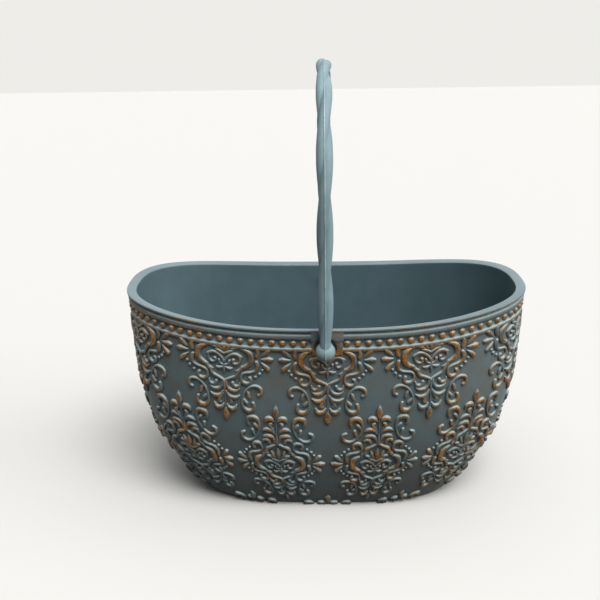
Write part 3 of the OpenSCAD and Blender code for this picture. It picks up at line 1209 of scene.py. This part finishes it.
@dataclass(frozen=True)
class Row:
    """One row of medallions round the tub.

    The wall lengths low and high cut it off, above and below scale its two halves, squeeze
    shortens the lower one towards its end, and offset turns it by shares of a medallion.
    """

    name: str
    middle: float
    above: float
    below: float
    squeeze: float
    offset: float
    low: float
    high: float
    pieces: int
    pivots: bool = False

    def down(self, drop: np.ndarray) -> np.ndarray:
        """Turns lengths down from the medallion's middle into lengths down the wall."""
        over, under = np.minimum(drop, 0.0), np.maximum(drop, 0.0)
        return self.middle + self.above * over + self.below * under - self.squeeze * under**2


ROWS = (
    Row("upper", 8.0, 1.0, 1.0, 0.0, 0.0, -1.9, 200.0, 2, True),
    Row("lower", 109.6, 1.01, 0.94, 0.0025, 0.5, -10.0, 165.4, 2),
    Row("foot", 195.8, 0.75, 0.75, 0.0, 0.0, -10.0, 165.4, 1),
)


@dataclass
class DamaskRelief:
    """The rows of medallions that stand out from the wall."""

    wall: WallMap
    count: int = 10
    step: float = 0.95
    fullness: float = 1.12
    extra: float = 0.32
    sink: float = 0.5
    root_share: float = 0.6
    skirt: float = 0.1
    tallest: float = 2.7
    least_crest: float = 0.7
    crest_share: float = 0.9
    tip_share: float = 0.25
    roundness: float = 0.85
    shift: float = 1.5
    end_stretch: float = 3.4
    ground: float = 0.4
    round_angles: tuple[float, ...] = (0.0, 27.0, 58.0, 90.0, 122.0, 153.0, 180.0)
    tip_angles: tuple[float, ...] = (28.0, 55.0, 84.0)

    def rings(self, stroke: Stroke) -> list[np.ndarray]:
        """Returns the sections of one stroke, with rounded ends, over a flat wall."""
        line = flowing(stroke.points, self.step)
        line[:, 2] = line[:, 2] * self.fullness + self.extra * np.minimum(1.0, line[:, 2])
        way = np.gradient(line[:, :2], axis=0)
        way /= np.linalg.norm(way, axis=1, keepdims=True)
        tips = np.radians(self.tip_angles)
        start = [self.section(line[0], way[0], tip, -1) for tip in reversed(tips)]
        middle = [self.section(spot, along, 0.0, 1) for spot, along in zip(line, way)]
        return start + middle + [self.section(line[-1], way[-1], tip, 1) for tip in tips]

    def section(self, spot: np.ndarray, way: np.ndarray, tip: float, end: int) -> np.ndarray:
        """Works out one half-round section across a stroke.

        Args:
            spot: Place right of and below the medallion's middle, and half the width there.
            way: Direction of the stroke, one millimetre long.
            tip: Angle round the stroke's rounded end, in radians, or 0 along its length.
            end: -1 for the end that the stroke starts from, and else 1.

        Returns:
            Rows of X, Y and the distance from the wall.
        """
        half, ease = spot[2], math.cos(tip)
        centre = spot[:2] + end * way * half * math.sin(tip)
        angles = np.radians(self.round_angles)
        crest = min(self.tallest, self.least_crest + self.crest_share * half)
        crest *= self.tip_share + (1.0 - self.tip_share) * ease
        across = np.concatenate([np.cos(angles), [-self.root_share, self.root_share]]) * half * ease
        proud = np.concatenate([crest * np.sin(angles) ** self.roundness, [-self.sink] * 2])
        proud[[0, len(angles) - 1]] = -self.skirt
        side = np.array([-way[1], way[0]])
        flat = centre[None, :] + side[None, :] * across[:, None]
        return np.column_stack([flat[:, 0], -flat[:, 1], proud])

    def stroke_mesh(self, stroke: Stroke) -> bmesh.types.BMesh:
        """Builds one stroke and its mirrored copies, flat."""
        bm = bmesh.new()
        if len(stroke.points) == 1:
            along, drop, half = stroke.points[0]
            spot = Matrix.Translation((along, -drop, self.extra))
            bmesh.ops.create_icosphere(bm, subdivisions=2, radius=half + self.extra, matrix=spot)
        else:
            loft(bm, self.rings(stroke))
        parts = geometry(bm)
        for side, end in stroke.repeat.value[1:]:
            add_copy(bm, parts, (side, end, 1.0))
        return bm

    def medallion(self, row: Row, crown: bool) -> bmesh.types.BMesh:
        """Builds one flat medallion of a row.

        Args:
            row: The row, which sets how the medallion is stretched and where it is cut off.
            crown: Whether it has the crown of petals over its spirals.

        Returns:
            The medallion, with closed meshes.
        """
        bm = bmesh.new()
        for stroke in MEDALLION:
            if crown or not stroke.crown:
                add_mesh(bm, self.stroke_mesh(stroke))
        for vert in bm.verts:
            vert.co.y = -float(row.down(np.array(-vert.co.y)))
        cut_off(bm, (0.0, -row.low, 0.0), (0.0, 1.0, 0.0))
        cut_off(bm, (0.0, -row.high, 0.0), (0.0, -1.0, 0.0))
        return bm

    def bend(self, bm: bmesh.types.BMesh, centre: float) -> None:
        """Lays a flat medallion on the wall about a length round it."""
        flat = np.array([vert.co for vert in bm.verts])
        lap = self.wall.lap.total
        pull = 1.0 - self.end_stretch * 2.0 * TURN / lap
        nominal = centre + flat[:, 0] / pull
        along = nominal - self.end_stretch * np.sin(2.0 * TURN * nominal / lap) + self.shift
        # Crest numbers fall to nothing at the wall; with the raised mark the finish paints shade at
        # the strokes' feet.
        crest_layer = bm.verts.layers.float.new("crest")
        marks = [bm.verts.layers.float.new(name) for name in ("outer", "raised")]
        places = self.wall.lay(along, -flat[:, 1], flat[:, 2])
        for vert, place, proud in zip(bm.verts, places, flat[:, 2]):
            vert.co = place
            vert[crest_layer] = max(0.0, min(1.0, proud / self.tallest))
            for mark in marks:
                vert[mark] = 1.0
        if min(vert.co.z for vert in bm.verts) < self.ground:
            cut_off(bm, (0.0, 0.0, self.ground), (0.0, 0.0, -1.0))

    def build_row(self, row: Row) -> list[bpy.types.Object]:
        """Builds a row, in as many pieces as keep each one light.

        Args:
            row: The row.

        Returns:
            Its pieces.
        """
        lap = self.wall.lap.total
        share = self.count // row.pieces
        plain, bare = self.medallion(row, True), self.medallion(row, False)
        pieces = []
        for part in range(row.pieces):
            bm = bmesh.new()
            for number in range(part * share, (part + 1) * share):
                at_pivot = row.pivots and number % (self.count // 2) == 0
                flat = (bare if at_pivot else plain).copy()
                self.bend(flat, (number + row.offset) * lap / self.count)
                add_mesh(bm, flat)
            pieces.append(make_piece(f"relief_{row.name}_{part + 1}", bm, crisp=75.0))
        plain.free()
        bare.free()
        return pieces


# The handle


@dataclass(frozen=True)
class HandleShape:
    """Sizes of the handle, as its solid has them."""

    pivot_height: float = 164.5
    reach: float = 215.7
    strand_width: float = 8.6
    strand_gap: float = 4.2
    half_twists: int = 9
    neck: float = 10.0
    leg_depth: float = 100.0
    crown_strand: float = 8.8
    ball_width: float = 15.7
    stud_width: float = 8.0
    collar_width: float = 12.4
    head_width: float = 11.0
    head_length: float = 4.0
    slot_width: float = 1.6
    seat: float = 88.9
    inner_face: float = 85.0
    play: float = 0.3
    rod_edge: float = 0.3
    seam_height: float = 0.55
    seam_width: float = 4.0
    ball_seam_width: float = 3.0


@dataclass
class Handle:
    """The twisted handle with its ball ends and snap studs."""

    shape: HandleShape
    steps: int = 460
    rod_steps: int = 64
    ball_segments: int = 72
    ball_rings: int = 48
    seam_angles: tuple[float, ...] = (0.0, 1.1, 2.2, 3.4, 5.0, 8.0, 13.0, 20.0)
    plain_start: float = 28.0
    plain_step: float = 7.75
    start: float = 2.1
    strand_softness: float = 0.006
    # Crest numbers of the parting lines, which the finish turns into a painted highlight.
    seam_highlight: float = 0.85
    ball_seam_highlight: float = 0.8
    sharp: float = 0.7
    slot_overrun: float = 2.0

    @property
    def arch_height(self) -> float:
        """Height at which the straight legs pass into the half circle."""
        shape = self.shape
        return shape.pivot_height + shape.reach - shape.crown_strand / 2 - shape.leg_depth

    @property
    def leg(self) -> float:
        """Length of a straight leg."""
        return self.arch_height - self.shape.pivot_height

    @property
    def path(self) -> float:
        """Length of the whole path from pivot to pivot."""
        return 2 * self.leg + math.pi * self.shape.leg_depth

    def bend_at(self, length: float) -> float:
        """Returns the angle round the arch at a length along the path."""
        return min(math.pi, max(0.0, (length - self.leg) / self.shape.leg_depth))

    def centre_at(self, length: float) -> tuple[float, float]:
        """Returns Y and Z of the path at a length along it."""
        depth = self.shape.leg_depth
        angle = self.bend_at(length)
        rise = length - self.leg if length < self.leg else min(0.0, self.path - self.leg - length)
        return -depth * math.cos(angle), self.arch_height + depth * math.sin(angle) + rise

    def twist_at(self, length: float) -> float:
        """Returns the turn of the strands at a length along the path, none on the necks."""
        shape = self.shape
        share = (length - shape.neck) / (self.path - 2 * shape.neck)
        return shape.half_twists * math.pi * min(1.0, max(0.0, share))

    def section_angles(self) -> np.ndarray:
        """Returns the angles round a section, close together at the mould's parting line."""
        plain = np.arange(self.plain_start, 90.0, self.plain_step)
        quarter = np.concatenate([self.seam_angles, plain])
        half = np.concatenate([quarter, 180.0 - quarter[::-1]])
        return np.radians(np.concatenate([half, half[1:-1] + 180.0]))

    def seam_at(self, angles: np.ndarray) -> np.ndarray:
        """Returns the share of its height that the parting line has at angles round a section."""
        away = np.degrees(np.abs((angles + math.pi / 2) % math.pi - math.pi / 2))
        return np.exp(-((away / self.shape.seam_width) ** 2))

    def ring(self, length: float) -> np.ndarray:
        """Returns the section of the twist at a length along the path."""
        shape = self.shape
        angles = self.section_angles()
        turned = angles - self.twist_at(length)
        offset, radius = shape.strand_gap / 2, shape.strand_width / 2
        soft = np.sqrt(np.cos(turned) ** 2 + self.strand_softness)
        reach = offset * soft + np.sqrt(radius**2 - (offset * np.sin(turned)) ** 2)
        reach = reach + shape.seam_height * self.seam_at(angles)
        outward, sideways = reach * np.cos(angles), reach * np.sin(angles)
        bend = self.bend_at(length)
        middle = self.centre_at(length)
        return np.column_stack(
            [sideways, middle[0] - outward * math.cos(bend), middle[1] + outward * math.sin(bend)]
        )

    def build_twist(self) -> bpy.types.Object:
        """Builds the two-strand twist from ball to ball.

        Returns:
            The twist.
        """
        lengths = np.linspace(self.start, self.path - self.start, self.steps)
        bm = bmesh.new()
        crest_layer = bm.verts.layers.float.new("crest")
        seam = self.seam_at(self.section_angles())
        # The parting line's crest numbers give a painted highlight in the finish.
        for row in loft(bm, [self.ring(float(length)) for length in lengths]):
            for vert, crest in zip(row, seam):
                vert[crest_layer] = self.seam_highlight * crest
        return make_piece("handle_twist", bm, crisp=60.0)

    def add_ball(self, bm: bmesh.types.BMesh) -> None:
        """Adds the ball with its parting line at the front end of the pivots' line."""
        shape = self.shape
        crest_layer = bm.verts.layers.float.new("crest")
        ball = bmesh.ops.create_uvsphere(
            bm,
            u_segments=self.ball_segments,
            v_segments=self.ball_rings,
            radius=shape.ball_width / 2,
        )["verts"]
        for vert in ball:
            angle = math.degrees(math.asin(max(-1.0, min(1.0, vert.co.x / vert.co.length))))
            seam = math.exp(-((angle / shape.ball_seam_width) ** 2))
            vert.co *= 1.0 + shape.seam_height / vert.co.length * seam
            # The ball's parting line gets a painted highlight through its crest number.
            vert[crest_layer] = self.ball_seam_highlight * seam
        bmesh.ops.translate(bm, vec=(0.0, -shape.leg_depth, 0.0), verts=ball)

    def add_rod(
        self, bm: bmesh.types.BMesh, widths: tuple[float, float], start: float, end: float
    ) -> None:
        """Adds a round rod with softened rims on the pivots' line.

        Args:
            bm: The mesh that gets it.
            widths: Its diameters at the start and at the end.
            start: Y of its outer end.
            end: Y of its inner end.
        """
        placed = Matrix.Translation((0.0, (start + end) / 2, 0.0))
        rod = bmesh.ops.create_cone(
            bm,
            cap_ends=True,
            segments=self.rod_steps,
            radius1=widths[0] / 2,
            radius2=widths[1] / 2,
            depth=end - start,
            matrix=placed @ Matrix.Rotation(-TURN / 4, 4, "X"),
        )["verts"]
        edges = {edge for vert in rod for edge in vert.link_edges}
        bmesh.ops.bevel(
            bm,
            geom=[edge for edge in edges if edge.calc_face_angle(0.0) > self.sharp],
            offset=self.shape.rod_edge,
            segments=2,
            profile=0.5,
            affect="EDGES",
            material=-1,
        )

    def build_end(self, side: int) -> bpy.types.Object:
        """Builds one ball with its collar, stud and slotted snap head.

        Args:
            side: -1 for the front end and 1 for the back end.

        Returns:
            The end as one piece.
        """
        shape = self.shape
        collar, stud = shape.collar_width, shape.stud_width
        front = -shape.leg_depth
        head_start = -shape.inner_face + shape.play
        head_end = head_start + shape.head_length
        bm = bmesh.new()
        self.add_ball(bm)
        self.add_rod(bm, (collar, collar), front, -shape.seat - shape.play)
        self.add_rod(bm, (stud, stud), front, head_start + shape.head_length / 2)
        self.add_rod(bm, (shape.head_width, stud - shape.slot_width), head_start, head_end)
        bmesh.ops.translate(bm, vec=(0.0, 0.0, shape.pivot_height), verts=bm.verts)
        if side > 0:
            bmesh.ops.scale(bm, vec=(1.0, -1.0, 1.0), verts=bm.verts)
        name = "handle_end_front" if side < 0 else "handle_end_back"
        end_piece = make_piece(name, bm)
        carve(end_piece, self.slot_cutter(side, head_start), merge=True)
        return end_piece

    def slot_cutter(self, side: int, head_start: float) -> bpy.types.Object:
        """Makes the tool that slots the snap head."""
        shape = self.shape
        bm = bmesh.new()
        length = shape.head_length + 2 * self.slot_overrun
        centre = -side * (head_start - self.slot_overrun + length / 2)
        middle = Matrix.Translation((0.0, centre, shape.pivot_height))
        size = Matrix.Diagonal((shape.slot_width, length, 2 * shape.head_width, 1.0))
        bmesh.ops.create_cube(bm, size=1.0, matrix=middle @ size)
        return make_piece("cutter", bm)


# The stage


@dataclass(frozen=True)
class PhotoCamera:
    """The photograph's viewpoint, about the middle of the rim's plane."""

    focal: float = 799.0
    frame: float = 600.0
    sensor: float = 36.0
    distance: float = 715.2
    elevation: float = 19.87
    yaw: float = -1.716
    roll: float = -0.936
    aside: float = 22.45
    below: float = 18.38
    level: float = 192.0
    nearest: float = 0.05

    def build(self) -> None:
        """Makes the camera and hands it to the scene."""
        tilt, roll = math.radians(self.elevation), math.radians(self.roll)
        turn = Matrix.Rotation(-math.radians(self.yaw), 3, "Z")
        right = turn @ Vector((1.0, 0.0, 0.0))
        ahead = turn @ Vector((0.0, math.cos(tilt), -math.sin(tilt)))
        up = turn @ Vector((0.0, math.sin(tilt), math.cos(tilt)))
        place = -self.aside * right - self.distance * ahead - self.below * up
        place.z += self.level
        frame_right = math.cos(roll) * right + math.sin(roll) * up
        frame_up = math.cos(roll) * up - math.sin(roll) * right
        axes = Matrix((frame_right, frame_up, -ahead)).transposed().to_4x4()
        lens = bpy.data.cameras.new("camera")
        lens.sensor_width = self.sensor
        lens.lens = self.sensor * self.focal / self.frame
        lens.clip_start = self.nearest
        camera = bpy.data.objects.new("camera", lens)
        camera.matrix_world = Matrix.Translation(place * MM) @ axes
        bpy.context.scene.collection.objects.link(camera)
        bpy.context.scene.camera = camera


@dataclass(frozen=True)
class Daylight:
    """Even light from one side of the sky."""

    name: str
    source: Triple
    strength: float
    spread: float
    colour: Triple = (1.0, 1.0, 1.0)

    def build(self) -> None:
        """Makes the lamp."""
        light = bpy.data.lights.new(self.name, "SUN")
        light.energy = self.strength
        light.angle = math.radians(self.spread)
        light.color = self.colour
        lamp = bpy.data.objects.new(self.name, light)
        lamp.location = self.source
        lamp.rotation_euler = Vector(self.source).to_track_quat("Z", "Y").to_euler()
        bpy.context.scene.collection.objects.link(lamp)


@dataclass
class Studio:
    """A plain pale floor, a pale world and soft daylight from above."""

    floor_colour: Colour = linear(208, 207, 204)
    floor_bounce: Colour = linear(50, 46, 40)
    world_colour: Colour = (0.93, 0.95, 0.97, 1.0)
    world_light: float = 0.13
    back_colour: Colour = linear(238, 237, 233)
    floor_roughness: float = 0.9
    floor_size: float = 8.0
    lights: tuple[Daylight, ...] = (
        Daylight("sky", (0.1, -0.1, 1.0), 1.55, 80.0),
        Daylight("front", (0.25, -0.44, 0.9), 2.4, 36.0),
        Daylight("side", (1.0, -0.25, 0.5), 1.4, 50.0, (1.0, 0.98, 0.95)),
    )

    def floor_material(self) -> bpy.types.Material:
        """Builds the floor's finish: pale to look at, darker in the light it throws back."""
        material, kit = new_material("pale floor")
        colour = kit.blend(self.seen_rays(kit), self.floor_bounce, self.floor_colour)
        finish = {"Base Color": colour, "Roughness": self.floor_roughness}
        give_surface(kit, kit.node("ShaderNodeBsdfPrincipled", inputs=finish))
        return material

    @staticmethod
    def seen_rays(kit: NodeKit) -> Wire:
        """Returns 1 for what is seen straight, mirrored or through a clear piece, and else 0."""
        seen = kit.node("ShaderNodeLightPath", output="Is Camera Ray")
        for ray in ("Is Glossy Ray", "Is Transmission Ray"):
            other = kit.node("ShaderNodeLightPath", output=ray)
            seen = kit.node("ShaderNodeMath", {"operation": "MAXIMUM"}, {0: seen, 1: other})
        return seen

    def build_world(self) -> None:
        """Lights the scene softly from all round, and shows a pale wall behind it."""
        world = bpy.data.worlds.new("studio")
        world.use_nodes = True
        world.node_tree.nodes.clear()
        kit = NodeKit(world.node_tree)
        light, back = (
            kit.node("ShaderNodeBackground", inputs={"Color": colour, "Strength": strength})
            for colour, strength in ((self.world_colour, self.world_light), (self.back_colour, 1.0))
        )
        mixed = kit.node("ShaderNodeMixShader", inputs={0: self.seen_rays(kit), 1: light, 2: back})
        kit.node("ShaderNodeOutputWorld", inputs={"Surface": mixed})
        bpy.context.scene.world = world

    def build(self) -> None:
        """Builds the floor, the lamps and the world, and keeps colours as they are written."""
        bm = bmesh.new()
        bmesh.ops.create_grid(bm, x_segments=1, y_segments=1, size=self.floor_size / 2 / MM)
        floor = make_piece("floor", bm)
        floor.data.materials.append(self.floor_material())
        for light in self.lights:
            light.build()
        self.build_world()
        bpy.context.scene.view_settings.view_transform = "Standard"


def dress(piece: bpy.types.Object, body: str, material: bpy.types.Material) -> None:
    """Gives a piece its finish and its body, and hides the solid that it stands for.

    Args:
        piece: The piece.
        body: Body that it moves with, which is also the solid's name.
        material: Its finish.
    """
    piece.data.materials.clear()
    piece.data.materials.append(material)
    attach(piece, body)
    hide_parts(body)
    LOG.info("%s: %d faces", piece.name, len(piece.data.polygons))


def main() -> None:
    """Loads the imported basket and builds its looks."""
    logging.basicConfig(level=logging.INFO, format="%(message)s")
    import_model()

    PhotoCamera().build()
    Studio().build()

    shape = TubShape()
    tub = Tub(shape)
    relief = DamaskRelief(WallMap(shape))
    tub_pieces = [tub.build_wall(), tub.build_beads(), tub.build_pads()]
    for row in ROWS:
        tub_pieces += relief.build_row(row)
    handle = Handle(HandleShape())
    handle_pieces = [handle.build_twist(), handle.build_end(-1), handle.build_end(1)]

    tub_finish, handle_finish = Finish.TUB.value.material(), Finish.HANDLE.value.material()
    for piece in tub_pieces:
        mark_upper(piece)
        dress(piece, "tub", tub_finish)
    for piece in handle_pieces:
        dress(piece, "handle", handle_finish)


if __name__ == "__main__":
    main()
